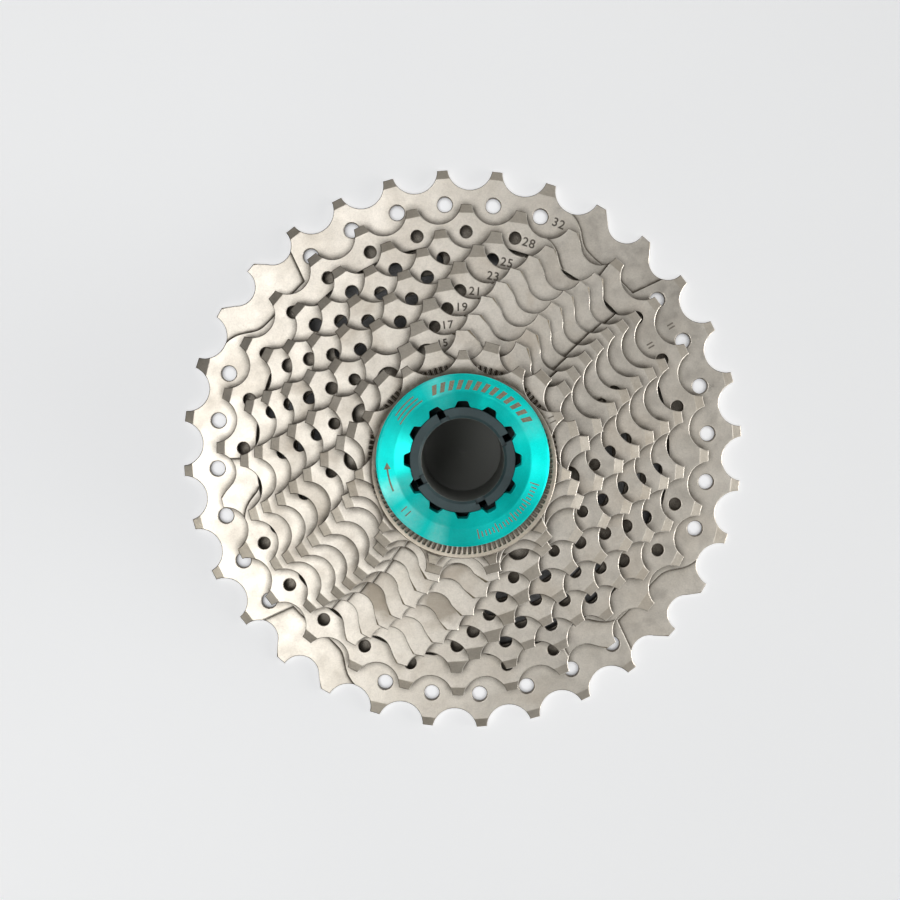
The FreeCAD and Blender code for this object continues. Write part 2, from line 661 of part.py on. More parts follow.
def transport_core():
    core = spline_solid(CORE_SPLINE_R, CORE_ROOT_R, CORE_PLAY, 0.0, CORE_SLEEVE_TOP)
    core = core.cut([cylinder(CORE_WALL_IN_R, -OVER, CORE_WEB_Z0),
                     cylinder(CORE_THREAD_R, CORE_WEB_Z1, CORE_SLEEVE_TOP + OVER),
                     cylinder(CORE_NECK_R - 0.5, CORE_WEB_Z0 - OVER, CORE_WEB_Z1 + OVER)])
    core = core.cut(cone(CORE_THREAD_R, CORE_THREAD_R + CORE_LEAD, CORE_LEAD,
                         CORE_SLEEVE_TOP - CORE_LEAD + 0.01))

    # ribs run into the neck, the sleeve wall and the web
    neck = cylinder(CORE_NECK_R, 0.0, CORE_TOP)
    ribs = [turned_box(CORE_WALL_IN_R - CORE_NECK_R + 1.0, CORE_RIB_W, CORE_WEB_Z0 + 0.2,
                       Vector(CORE_NECK_R - 0.4, -CORE_RIB_W / 2, 0.0),
                       360.0 / CORE_RIBS * k + CORE_FIRST_RIB_ANGLE) for k in range(CORE_RIBS)]
    core = core.fuse([neck] + ribs)

    recess_roof = cone(0.0, CORE_RECESS_R, CORE_RECESS_RIM_Z - CORE_RECESS_MID_Z,
                       CORE_RECESS_MID_Z)
    cutters = [cylinder(CORE_BORE_R, CORE_FLOOR_RIM_Z, CORE_TOP + OVER),
               cone(0.0, CORE_BORE_R, CORE_FLOOR_RIM_Z - CORE_FLOOR_MID_Z, CORE_FLOOR_MID_Z),
               cylinder(CORE_RECESS_R, -OVER, CORE_RECESS_RIM_Z).cut(recess_roof)]
    cutters += slot_cutters()
    chamfer_w, chamfer_h = CORE_MOUTH_CHAMFER
    cutters.append(cone(CORE_BORE_R, CORE_BORE_R + chamfer_w, chamfer_h, CORE_TOP - chamfer_h))
    cutters.append(rim_skim(CORE_NECK_R, CORE_TOP, CORE_SKIM_H,
                            CORE_NECK_R + 0.05, CORE_NECK_R - 0.35))
    return largest_solid(core.cut(cutters).removeSplitter())


# ---------------------------------------------------------------- build
os.makedirs("parts", exist_ok=True)

for i, teeth in enumerate(TEETH):
    export(sprocket(i), "sprocket_%dt" % teeth)
for i in range(LAST_RIVETED):
    export(riveted_spacer(i), "spacer_%d_%d" % (TEETH[i], TEETH[i + 1]))
export(loose_spacer(LAST_RIVETED), "spacer_15_13")
export(rivets(), "rivets")
export(lockring_washer(), "lockring_washer")
export(lockring(), "lockring")
export(transport_core(), "transport_core")
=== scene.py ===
# An eleven-sprocket bicycle cassette lying flat on a pale table. Its axis is Z through the
# origin: the largest sprocket is at the bottom, the smallest and the lockring are on top.
# Lengths are in metres, or in millimetres where a comment or MM says so; angles are in degrees
# from +X unless noted.
import bpy
import bmesh
import math
from mathutils import Matrix, Vector

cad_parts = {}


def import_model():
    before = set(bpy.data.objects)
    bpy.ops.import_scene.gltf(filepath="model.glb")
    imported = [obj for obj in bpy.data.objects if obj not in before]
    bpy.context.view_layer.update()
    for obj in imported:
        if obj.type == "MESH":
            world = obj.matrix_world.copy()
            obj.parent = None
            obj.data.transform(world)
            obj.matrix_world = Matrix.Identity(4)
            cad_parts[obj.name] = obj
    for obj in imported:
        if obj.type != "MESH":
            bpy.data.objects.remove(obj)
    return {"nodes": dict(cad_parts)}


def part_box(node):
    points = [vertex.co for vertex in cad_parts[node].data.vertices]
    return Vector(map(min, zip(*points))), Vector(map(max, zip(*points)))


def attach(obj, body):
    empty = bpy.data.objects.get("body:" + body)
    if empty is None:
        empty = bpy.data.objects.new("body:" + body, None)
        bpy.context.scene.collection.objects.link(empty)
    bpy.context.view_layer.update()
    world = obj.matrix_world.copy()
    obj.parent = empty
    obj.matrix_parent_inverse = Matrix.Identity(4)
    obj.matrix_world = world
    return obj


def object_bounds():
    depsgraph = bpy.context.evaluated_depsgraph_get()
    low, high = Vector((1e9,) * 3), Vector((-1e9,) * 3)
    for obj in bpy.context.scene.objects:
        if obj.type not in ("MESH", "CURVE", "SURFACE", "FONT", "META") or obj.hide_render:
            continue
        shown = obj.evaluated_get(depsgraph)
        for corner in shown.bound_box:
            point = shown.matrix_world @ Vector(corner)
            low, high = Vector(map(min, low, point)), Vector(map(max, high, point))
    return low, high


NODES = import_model()["nodes"]
cad_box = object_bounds()
MM = 0.001
UP = (0.0, 0.0, 1.0)

# ------------------------------------------------------------------ dimensions, mm
SPACING = 3.74  # from one sprocket to the next
PLATE = 1.60  # thickness of a sprocket
LOCKRING_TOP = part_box("lockring")[1].z / MM

# teeth: (texture seed, stain, brightness, roughness), from the bottom up
SPROCKETS = {
    32: (1.0, 0.30, 1.00, 0.38),
    28: (2.3, 0.34, 0.98, 0.39),
    25: (3.1, 0.42, 0.95, 0.39),
    23: (4.7, 0.45, 0.95, 0.40),
    21: (5.9, 0.70, 0.93, 0.42),
    19: (6.4, 0.70, 0.93, 0.42),
    17: (7.2, 0.55, 0.92, 0.40),
    15: (8.8, 0.65, 0.89, 0.41),
    13: (9.5, 0.60, 0.88, 0.40),
    12: (10.6, 0.60, 0.87, 0.41),
    11: (11.9, 0.45, 0.92, 0.39),
}
TEETH = list(SPROCKETS)
# teeth: (radius mm, angle, size mm, strength) of a tarnished patch
PATCHES = {21: (37.4, 241.0, 6.5, 0.75), 19: (34.0, 262.0, 5.5, 0.65)}


def plate_top(teeth):
    """Height of a sprocket's upper face, mm."""
    return TEETH.index(teeth) * SPACING + PLATE


def body_of(teeth):
    """The large sprockets are riveted into one cluster; the small ones are loose."""
    return "cluster" if teeth >= 15 else "sprocket_%d" % teeth


def polar(radius, degrees):
    angle = math.radians(degrees)
    return radius * math.cos(angle), radius * math.sin(angle)


# ------------------------------------------------------------------ node trees
class Nodes:
    """Short calls that add nodes to a tree. Inputs may be plain values or sockets."""

    def __init__(self, tree):
        self.tree = tree
        tree.nodes.clear()

    def put(self, socket, value):
        if isinstance(value, bpy.types.NodeSocket):
            self.tree.links.new(value, socket)
            return
        if socket.type == "RGBA" and len(value) == 3:
            value = (*value, 1.0)
        socket.default_value = value

    def node(self, kind, attrs=None, **inputs):
        node = self.tree.nodes.new("ShaderNode" + kind)
        for key, value in (attrs or {}).items():
            setattr(node, key, value)
        for key, value in inputs.items():
            self.put(node.inputs[key.replace("_", " ")], value)
        return node

    def math(self, operation, *values, clamp=False):
        node = self.node("Math", {"operation": operation, "use_clamp": clamp})
        for socket, value in zip(node.inputs, values):
            self.put(socket, value)
        return node.outputs[0]

    def plus(self, a, b):
        return self.math("ADD", a, b)

    def minus(self, a, b, clamp=False):
        return self.math("SUBTRACT", a, b, clamp=clamp)

    def times(self, a, b, clamp=False):
        return self.math("MULTIPLY", a, b, clamp=clamp)

    def vector(self, operation, *values):
        node = self.node("VectorMath", {"operation": operation})
        for socket, value in zip(node.inputs, values):
            self.put(socket, value)
        scalar = operation in ("DOT_PRODUCT", "DISTANCE", "LENGTH")
        return node.outputs["Value" if scalar else "Vector"]

    def span(self, value, source, to=(0.0, 1.0), curve="LINEAR"):
        """Carry the source range onto the range `to`, clamped at both ends."""
        node = self.node("MapRange", {"interpolation_type": curve}, Value=value,
                         From_Min=source[0], From_Max=source[1], To_Min=to[0], To_Max=to[1])
        return node.outputs[0]

    def mix(self, factor, a, b, mode="MIX"):
        node = self.node("Mix", {"data_type": "RGBA", "blend_type": mode})
        colors = [s for s in node.inputs if s.type == "RGBA"]
        self.put(node.inputs[0], factor)
        self.put(colors[0], a)
        self.put(colors[1], b)
        return next(s for s in node.outputs if s.type == "RGBA")


class Finish(Nodes):
    """A material with one principled shader."""

    def __init__(self, name):
        self.material = bpy.data.materials.new(name)
        self.material.use_nodes = True
        super().__init__(self.material.node_tree)
        self.shader = self.node("BsdfPrincipled")
        self.node("OutputMaterial", Surface=self.shader.outputs[0])

    def coords(self, scale=1000.0, loc=(0, 0, 0), rot=(0, 0, 0), stretch=(1, 1, 1)):
        """Object coordinates, by default in millimetres."""
        place = self.node("TexCoord").outputs["Object"]
        return self.node("Mapping", Vector=place, Location=loc, Rotation=rot,
                         Scale=tuple(scale * s for s in stretch)).outputs[0]

    def noise(self, at, scale, detail=4.0, rough=0.55, distortion=0.0):
        return self.node("TexNoise", Vector=at, Scale=scale, Detail=detail, Roughness=rough,
                         Distortion=distortion).outputs["Fac"]

    def ramp(self, factor, stops):
        """Colour ramp from (position, grey level or colour) stops."""
        node = self.node("ValToRGB", Fac=factor)
        elements = node.color_ramp.elements
        while len(elements) > 1:
            elements.remove(elements[-1])
        for i, (position, color) in enumerate(stops):
            if not isinstance(color, tuple):
                color = (color,) * 3
            element = elements.new(position) if i else elements[0]
            element.position = position
            element.color = (*color, 1.0)
        return node.outputs["Color"]

    def shade(self, base, amount, factor, stops):
        """Multiply the base by a grey ramp."""
        return self.mix(amount, base, self.ramp(factor, stops), "MULTIPLY")

    def edge_mask(self, radius, low=0.02, high=0.3, samples=6):
        """1 along edges that a rounding of the radius would touch, and the rounded normal."""
        rounded = self.node("Bevel", {"samples": samples}, Radius=radius).outputs[0]
        normal = self.node("NewGeometry").outputs["Normal"]
        turned = self.minus(1.0, self.vector("DOT_PRODUCT", rounded, normal))
        return self.span(turned, (low, high)), rounded

    def occlusion(self, distance, samples):
        node = self.node("AmbientOcclusion", {"samples": samples}, Distance=distance)
        return node.outputs["AO"]

    def bump(self, height, strength, distance, **normal):
        return self.node("Bump", Height=height, Strength=strength, Distance=distance,
                         **normal).outputs[0]

    def finish(self, color, rough, metal, normal, **extra):
        inputs = dict(Base_Color=color, Roughness=rough, Metallic=metal, Normal=normal, **extra)
        for key, value in inputs.items():
            self.put(self.shader.inputs[key.replace("_", " ")], value)
        return self.material


# ------------------------------------------------------------------ steel
NICKEL_LIGHT = (0.785, 0.740, 0.668)
NICKEL_DARK = (0.675, 0.630, 0.558)


def tarnish(g, base, at, patch):
    """One brown patch with an uneven edge."""
    centre, size, strength = patch
    distance = g.vector("DISTANCE", g.coords(), centre)
    ragged = g.times(g.minus(g.noise(at, scale=0.30), 0.5), 5.0)
    fade = g.span(g.plus(distance, ragged), (0.55 * size, size), to=(strength, 0.0))
    return g.mix(fade, base, (0.235, 0.195, 0.145))


def pits(g, base, at):
    """Small dark pits, only where a second noise allows them."""
    cells = g.node("TexVoronoi", {"feature": "F1"}, Vector=at, Scale=0.85)
    pit = g.math("LESS_THAN", cells.outputs["Distance"], 0.06)
    rare = g.math("GREATER_THAN", g.noise(at, scale=0.31, detail=2.0), 0.55)
    return g.mix(g.times(g.times(pit, rare), 0.35), base, (0.12, 0.10, 0.085))


def scratches(g, seed, shift):
    """Mask of tumbling scratches in three directions (radians)."""
    mask = None
    for k, angle in enumerate((0.35, 1.55, 2.6)):
        at = g.coords(loc=(shift[0] + k * 5, shift[1], 0), rot=(0, 0, angle + seed),
                      stretch=(0.16, 7.0, 1.0))
        lines = g.span(g.noise(at, scale=1.0, detail=2.0, rough=0.5), (0.665, 0.71))
        mask = g.math("MAXIMUM", mask, lines) if mask else lines
    return mask


def upright_faces(g):
    """How level the face is, how far it is a wall, and how far a wall facing off the axis."""
    normal = g.node("NewGeometry").outputs["True Normal"]
    level = g.vector("DOT_PRODUCT", normal, UP)
    wall = g.span(g.math("ABSOLUTE", level), (0.08, 0.40), to=(1.0, 0.0))
    outward = g.vector("NORMALIZE", g.vector("MULTIPLY", g.coords(), (1.0, 1.0, 0.0)))
    facing = g.vector("DOT_PRODUCT", normal, outward)
    return level, wall, g.times(g.span(facing, (-0.05, 0.30)), wall)


def plated_steel(name, seed, light, dark, rough, stain, shade_strength=0.92, edge=0.92, patch=None):
    """Satin nickel on stamped steel: cloudy plating, scratches, stains, painted shade in corners
    and on facets and walls, painted edge highlights and outlines.
    """
    g = Finish(name)
    shift = (seed * 13.7, seed * 7.3, seed * 3.1)
    at = g.coords(loc=shift)
    cloud = g.noise(at, scale=0.11, detail=6.0, rough=0.66, distortion=0.4)
    middle = tuple((a + b) / 2 for a, b in zip(light, dark))
    base = g.ramp(cloud, [(0.30, dark), (0.50, middle), (0.66, light)])
    # smears about a millimetre across, and the fine orange peel of the plating
    smear = g.noise(at, scale=0.75, rough=0.65, distortion=0.6)
    base = g.shade(base, 0.8, smear, [(0.28, 0.90), (0.48, 0.99), (0.70, 1.05)])
    grain = g.noise(at, scale=3.0, detail=3.0, rough=0.65)
    base = g.shade(base, 0.8, grain, [(0.25, 0.84), (0.5, 0.99), (0.8, 1.12)])
    # brown-grey handling stains
    swapped = g.coords(loc=(shift[1], shift[0], shift[2]))
    blot = g.noise(swapped, scale=0.055, detail=6.0, rough=0.60, distortion=0.5)
    blot = g.span(blot, (0.50, 0.72), to=(0.0, 0.9 * stain))
    base = g.mix(blot, base, (0.40, 0.335, 0.26))
    if patch:
        base = tarnish(g, base, at, patch)
    base = pits(g, base, at)
    scratch = scratches(g, seed, shift)
    base = g.mix(g.times(scratch, 0.07), base, (0.86, 0.80, 0.72))

    # painted shade in corners, in holes and under the next sprocket, weaker on the outer tooth
    # walls
    level, wall, outer = upright_faces(g)
    hidden = g.span(g.occlusion(3.0 * MM, samples=12), (0.75, 0.99), to=(1.0, 0.0))
    painted_shade = g.math("POWER", hidden, 1.2)
    uneven = g.span(g.noise(at, scale=0.6), (0.3, 0.7), to=(0.8, 1.15))
    painted_shade = g.times(painted_shade, uneven, clamp=True)
    painted_shade = g.times(painted_shade, g.minus(1.0, g.times(outer, 0.70)))
    base = g.mix(g.times(painted_shade, shade_strength), base, (0.080, 0.066, 0.050))
    # painted shade by face direction: sloping facets darker and browner, walls facing the axis
    # dark, walls facing outward a mid brown
    facet = g.span(g.math("ABSOLUTE", level), (0.92, 0.985), to=(1.0, 0.0))
    base = g.mix(facet, base, (0.51, 0.465, 0.385), "MULTIPLY")
    inward_wall = g.times(wall, g.minus(1.0, outer))
    base = g.mix(g.times(inward_wall, 0.85), base, (0.175, 0.150, 0.120))
    base = g.mix(g.times(outer, 0.55), base, (0.46, 0.425, 0.37))

    # edges: a painted highlight where the rounding faces +X, a painted dark outline elsewhere
    mask, rounded = g.edge_mask(0.34 * MM, low=0.010, high=0.085, samples=8)
    mask = g.times(mask, g.minus(1.0, g.times(outer, 0.75)))
    broken = g.span(g.noise(at, scale=0.35, detail=3.0), (0.35, 0.6), to=(0.70, 1.0))
    mask = g.times(mask, broken)
    side = g.vector("DOT_PRODUCT", rounded, Vector((0.96, -0.22, 0.10)).normalized())
    edge_glint_and_outline = g.mix(g.span(side, (0.12, 0.42)), (0.050, 0.038, 0.026), (0.95, 0.92, 0.86))
    base = g.mix(g.times(mask, edge), base, edge_glint_and_outline)

    # stains and the painted shade mask dull the surface, edges and scratches polish it
    gloss = g.noise(at, scale=0.28, detail=3.0, rough=0.50)
    gloss = g.span(gloss, (0.3, 0.7), to=(rough - 0.09, rough - 0.01))
    gloss = g.plus(gloss, g.times(blot, 0.16))
    gloss = g.plus(gloss, g.times(painted_shade, 0.15))
    gloss = g.minus(gloss, g.times(mask, 0.10))
    gloss = g.minus(gloss, g.times(scratch, 0.02), clamp=True)
    waves = g.noise(at, scale=0.22, detail=3.0)
    normal = g.bump(waves, strength=0.16, distance=0.10 * MM, Normal=rounded)
    normal = g.bump(grain, strength=0.35, distance=0.02 * MM, Normal=normal)
    grooves = g.times(scratch, -1.0)
    normal = g.bump(grooves, strength=0.12, distance=0.008 * MM, Normal=normal)
    return g.finish(base, gloss, 1.0, normal)


# ------------------------------------------------------------------ lockring
# painted highlights, pale wedges on the face: (angle, half width, strength)
SHEEN = [(203.0, 11.0, 0.34), (228.0, 12.0, 0.24), (251.0, 9.0, 0.26), (108.0, 13.0, 0.20),
         (28.0, 14.0, 0.10)]


def wedge_stops(wedges):
    """Ramp stops for the radial gradient, which runs from 0 at -X through 0.5 at +X."""
    stops = []
    for angle, half_width, strength in wedges:
        middle = ((angle + 180.0) % 360.0) / 360.0
        half = half_width / 360.0
        stops += [(middle - half, 0.0), (middle - 0.25 * half, strength),
                  (middle + 0.25 * half, strength), (middle + half, 0.0)]
    return sorted(stops)


def crowned_normal(g, rounded):
    """Lean the normal of level faces outward by a few degrees, as on a crowned flange."""
    outward = g.vector("NORMALIZE", g.coords(stretch=(1, 1, 0)))
    level = g.vector("DOT_PRODUCT", g.node("NewGeometry").outputs["True Normal"], UP)
    lean = g.node("VectorMath", {"operation": "SCALE"}, Vector=outward,
                  Scale=g.span(level, (0.985, 0.998), to=(0.0, 0.065))).outputs[0]
    return g.vector("NORMALIZE", g.vector("ADD", rounded, lean))


def anodised(name):
    """Turned aluminium anodised turquoise: lathe rings, cloudy dye, sparkle, painted highlight
    wedges, painted shade in corners, worn rims.
    """
    g = Finish(name)
    at = g.coords()
    cloud = g.noise(at, scale=0.16, detail=5.0, rough=0.6)
    base = g.ramp(cloud, [(0.3, (0.0, 0.80, 0.755)), (0.55, (0.004, 0.90, 0.85)),
                          (0.75, (0.012, 0.97, 0.92))])
    grain = g.noise(at, scale=7.0, detail=2.0, rough=0.6)
    base = g.shade(base, 0.6, grain, [(0.3, 0.84), (0.5, 1.0), (0.75, 1.16)])
    # painted highlights: pale wedges where turned metal would reflect, weaker inside a radius of
    # 14 mm
    around = g.node("TexGradient", {"gradient_type": "RADIAL"}, Vector=at).outputs["Fac"]
    sheen = g.ramp(around, wedge_stops(SHEEN))
    radius = g.vector("LENGTH", g.coords(stretch=(1, 1, 0)))
    sheen = g.times(sheen, g.span(radius, (14.1, 14.6), to=(0.35, 1.0)))
    uneven = g.span(g.noise(at, scale=1.1), (0.35, 0.65), to=(0.7, 1.15))
    sheen = g.times(sheen, uneven, clamp=True)
    base = g.mix(sheen, base, (0.62, 0.98, 0.93))
    # painted shade in corners, and worn rims
    openness = g.occlusion(1.6 * MM, samples=8)
    corner = g.span(openness, (0.2, 0.95), to=(1.0, 0.0))
    base = g.mix(g.times(corner, 0.55), base, (0.0, 0.10, 0.115))
    mask, rounded = g.edge_mask(0.16 * MM)
    mask = g.times(mask, g.span(openness, (0.5, 0.9)))
    base = g.mix(g.times(mask, 0.55), base, (0.20, 0.86, 0.84))
    rings = g.node("TexWave", {"wave_type": "RINGS", "rings_direction": "Z"},
                   Vector=at, Scale=1.6, Distortion=0.25, Detail=2.0).outputs["Fac"]
    rough = g.span(g.noise(at, scale=0.5), (0.3, 0.7), to=(0.37, 0.47))
    normal = g.bump(rings, strength=0.22, distance=0.010 * MM, Normal=crowned_normal(g, rounded))
    normal = g.bump(grain, strength=0.25, distance=0.010 * MM, Normal=normal)
    tangent = g.node("Tangent", {"direction_type": "RADIAL", "axis": "Z"}).outputs[0]
    return g.finish(base, rough, 1.0, normal, Anisotropic=1.0, Anisotropic_Rotation=0.25,
                    Tangent=tangent, Coat_Weight=0.20, Coat_Roughness=0.24)


# ------------------------------------------------------------------ plastic and marks
BORE_EDGE = (8.86, 8.92)  # radii between which the bore colour gives way, mm


def moulded(name, dark, light, scuff, rough, seed, bore_color=None):
    """Moulded plastic: spark-eroded texture, flow clouds, scuffed rims, painted shade in
    corners.
    """
    g = Finish(name)
    at = g.coords(loc=(seed * 3.1, seed * 7.7, seed))
    cloud = g.noise(at, scale=0.14, detail=5.0, rough=0.6)
    base = g.ramp(cloud, [(0.3, dark), (0.7, light)])
    texture = g.noise(at, scale=4.5, detail=3.0, rough=0.65)
    base = g.shade(base, 0.5, texture, [(0.3, 0.75), (0.5, 1.0), (0.8, 1.3)])
    # painted shade in corners
    corner = g.span(g.occlusion(2.0 * MM, samples=6), (0.2, 0.9), to=(1.0, 0.0))
    base = g.mix(g.times(corner, 0.5), base, tuple(c * 0.3 for c in dark))
    mask, rounded = g.edge_mask(0.2 * MM)
    mask = g.times(mask, g.span(g.noise(at, scale=0.8), (0.35, 0.65), to=(0.2, 1.0)))
    base = g.mix(g.times(mask, 0.5), base, scuff)
    if bore_color:
        place = g.node("TexCoord").outputs["Object"]
        radius = g.vector("LENGTH", g.vector("MULTIPLY", place, (1000.0, 1000.0, 0.0)))
        base = g.mix(g.span(radius, BORE_EDGE, to=(1.0, 0.0)), base, bore_color)
    gloss = g.span(texture, (0.3, 0.7), to=(rough - 0.06, rough + 0.10))
    normal = g.bump(texture, strength=0.35, distance=0.02 * MM, Normal=rounded)
    return g.finish(base, gloss, 0.0, normal)


def etched(name, dark, light, seed):
    """Laser mark: dull oxide, broken by the grain underneath."""
    g = Finish(name)
    at = g.coords(loc=(seed, seed * 2, 0))
    grain = g.noise(at, scale=3.2, rough=0.65)
    base = g.ramp(grain, [(0.32, dark), (0.62, light)])
    base = g.shade(base, 0.6, g.noise(at, scale=0.4, detail=3.0), [(0.3, 0.75), (0.7, 1.2)])
    rough = g.span(grain, (0.3, 0.7), to=(0.55, 0.8))
    return g.finish(base, rough, 0.35, g.bump(grain, strength=0.3, distance=0.01 * MM))


# ------------------------------------------------------------------ dressing the pieces
def assign(node, material):
    piece = NODES[node]
    if not piece.material_slots:
        piece.data.materials.append(material)
    else:
        for slot in piece.material_slots:
            slot.material = material


def sprocket_steel(teeth):
    seed, stain, brightness, rough = SPROCKETS[teeth]
    patch = None
    if teeth in PATCHES:
        radius, angle, size, strength = PATCHES[teeth]
        patch = ((*polar(radius, angle), plate_top(teeth)), size, strength)
    return plated_steel("plated_steel_%dt" % teeth, seed,
                        light=tuple(brightness * c for c in NICKEL_LIGHT),
                        dark=tuple(brightness * c for c in NICKEL_DARK),
                        rough=rough, stain=stain, patch=patch)


for teeth in TEETH:
    assign("sprocket_%dt" % teeth, sprocket_steel(teeth))
resin = moulded("spacer_resin", dark=(0.012, 0.012, 0.013), light=(0.024, 0.024, 0.026),
                scuff=(0.10, 0.10, 0.10), rough=0.52, seed=2.0)
for pair in zip(TEETH[:8], TEETH[1:9]):
    assign("spacer_%d_%d" % pair, resin)
assign("rivets", plated_steel("rivet_steel", 17.0, light=(0.56, 0.54, 0.51),
                              dark=(0.42, 0.40, 0.37), rough=0.36, stain=0.3))
assign("lockring_washer", plated_steel("washer_steel", 21.0, light=(0.72, 0.65, 0.55),
                                       dark=(0.56, 0.50, 0.41), rough=0.36, stain=0.3,
                                       shade_strength=0.8, edge=0.5))
assign("lockring", anodised("anodised_ring"))
# slate outside and on the rim, a duller neutral grey down the blind bore
assign("transport_core", moulded("core_plastic", dark=(0.024, 0.046, 0.053),
                                 light=(0.048, 0.086, 0.096), scuff=(0.16, 0.21, 0.23),
                                 rough=0.46, seed=5.0, bore_color=(0.235, 0.243, 0.232)))

MARK_DARK = etched("etched_mark_dark", (0.070, 0.060, 0.050), (0.170, 0.148, 0.125), seed=1.0)
MARK_SOFT = etched("etched_mark_soft", (0.16, 0.14, 0.115), (0.28, 0.25, 0.21), seed=4.0)
MARK_RING = etched("etched_mark_ring", (0.20, 0.180, 0.125), (0.37, 0.335, 0.240), seed=7.0)

# ------------------------------------------------------------------ etched marks, mm
# teeth, radius, angle, text size
COUNT_MARKS = [
    (32, 57.9, 67.1, 2.9), (28, 50.9, 72.4, 2.9), (25, 44.9, 76.9, 2.75),
    (23, 41.0, 80.2, 2.7), (21, 36.9, 85.6, 2.6), (19, 33.1, 90.4, 2.6),
    (17, 29.2, 96.6, 2.5), (15, 25.3, 100.0, 2.3), (11, 20.7, 24.4, 1.9),
]
TEXT_SPREAD = 1.12  # letter spacing
TEXT_THICK = 0.035
TEXT_SWELL = 0.016  # outline grown outward
TEXT_LIFT = 0.004  # middle of the text above the face

# teeth, radius, angle of a pair of short bars
TICKS = [(32, 57.2, 31.0), (28, 50.4, 29.6), (25, 45.0, 23.0), (23, 41.0, 22.6),
         (21, 37.0, 22.0), (19, 33.0, 22.0), (13, 22.3, 20.5)]
TICK_OFFSET = 0.42  # from the middle of the pair to the middle of a bar
TICK_HALF = (0.14, 0.75)  # half width and half length of a bar


def place(radius, angle, height):
    """Stand a mark upright for somebody outside: its top points away from the axis."""
    x, y = polar(radius, angle)
    move = Matrix.Translation(Vector((x * MM, y * MM, height * MM)))
    return move @ Matrix.Rotation(math.radians(angle) - math.pi / 2, 4, "Z")


def add_mark(mesh, name, body, material):
    mesh.materials.clear()
    mesh.materials.append(material)
    mark = bpy.data.objects.new(name, mesh)
    bpy.context.scene.collection.objects.link(mark)
    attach(mark, body)


def numeral(name, text, size, radius, angle, height, body, material):
    curve = bpy.data.curves.new(name, "FONT")
    curve.body = text
    curve.size = size * MM
    curve.align_x = "CENTER"
    curve.align_y = "CENTER"
    curve.space_character = TEXT_SPREAD
    curve.extrude = TEXT_THICK * 0.5 * MM
    curve.offset = TEXT_SWELL * MM
    curve.resolution_u = 6
    draft = bpy.data.objects.new(name, curve)
    bpy.context.scene.collection.objects.link(draft)
    bpy.context.view_layer.update()
    evaluated = draft.evaluated_get(bpy.context.evaluated_depsgraph_get())
    mesh = bpy.data.meshes.new_from_object(evaluated)
    bpy.data.objects.remove(draft)
    mesh.transform(place(radius, angle, height + TEXT_LIFT))
    add_mark(mesh, name, body, material)


def prism(bm, points, bottom, top):
    low = [bm.verts.new((x * MM, y * MM, bottom * MM)) for x, y in points]
    high = [bm.verts.new((x * MM, y * MM, top * MM)) for x, y in points]
    bm.faces.new(list(reversed(low)))
    bm.faces.new(high)
    for i in range(len(points)):
        j = (i + 1) % len(points)
        bm.faces.new((low[i], low[j], high[j], high[i]))


def add_bmesh(bm, name, body, material):
    bmesh.ops.remove_doubles(bm, verts=bm.verts, dist=1e-7)
    bmesh.ops.recalc_face_normals(bm, faces=bm.faces)
    mesh = bpy.data.meshes.new(name)
    bm.to_mesh(mesh)
    bm.free()
    add_mark(mesh, name, body, material)


def ticks(teeth, radius, angle):
    """Two short radial bars side by side."""
    bm = bmesh.new()
    turn = place(radius, angle, 0)
    half_width, half_length = TICK_HALF
    for side in (-TICK_OFFSET, TICK_OFFSET):
        left, right = side - half_width, side + half_width
        corners = [(left, -half_length), (right, -half_length),
                   (right, half_length), (left, half_length)]
        placed = [turn @ Vector((x * MM, y * MM, 0)) for x, y in corners]
        face = plate_top(teeth)
        prism(bm, [(p.x / MM, p.y / MM) for p in placed], face - 0.01, face + 0.02)
    add_bmesh(bm, "batch_ticks_%dt" % teeth, body_of(teeth), MARK_SOFT)


for teeth, radius, angle, size in COUNT_MARKS:
    body = body_of(teeth)
    numeral("count_mark_%dt" % teeth, str(teeth), size, radius, angle, plate_top(teeth), body,
            MARK_DARK if body == "cluster" else MARK_SOFT)
for row in TICKS:
    ticks(*row)


# Lockring face: slanted bars, lines, a scale, an arrow and a numeral.
def ring_prism(bm, corners):
    """A thin prism on the lockring's face from (radius, angle) corners."""
    prism(bm, [polar(*corner) for corner in corners], LOCKRING_TOP - 0.03, LOCKRING_TOP + 0.010)


def arc_band(bm, inner, outer, start, end, step):
    count = max(1, int(abs(end - start) / step))
    for i in range(count):
        a = start + (end - start) * i / count
        b = start + (end - start) * (i + 1) / count
        ring_prism(bm, [(inner, a), (outer, a), (outer, b), (inner, b)])


def ring_bars(bm):
    half, lean = 1.75, 1.3  # half width, and how far each end is turned aside
    for k in range(13):
        middle = 112.0 - 6.6 * k
        ring_prism(bm, [(15.05, middle - half + lean), (15.05, middle + half + lean),
                        (17.0, middle + half - lean), (17.0, middle - half - lean)])


def ring_lines(bm):
    """Three arcs, each shorter than the one inside it."""
    for inner in (15.1, 16.0, 16.9):
        trim = (inner - 15.1) * 2.0
        arc_band(bm, inner, inner + 0.25, 124.0 + trim, 150.0 - trim, step=1.5)


def ring_scale(bm):
    """Graduations every 3 degrees, every fifth one longer."""
    for k in range(21):
        middle = -18.0 - 3.0 * k
        inner, outer = (15.5, 16.7) if k % 5 else (14.95, 17.0)
        arc_band(bm, inner, outer, middle - 0.42, middle + 0.42, step=0.5)


def ring_arrow(bm):
    arc_band(bm, 15.85, 16.2, 186.0, 204.0, step=2.0)
    ring_prism(bm, [(16.02, 181.6), (16.75, 186.6), (15.3, 186.6)])


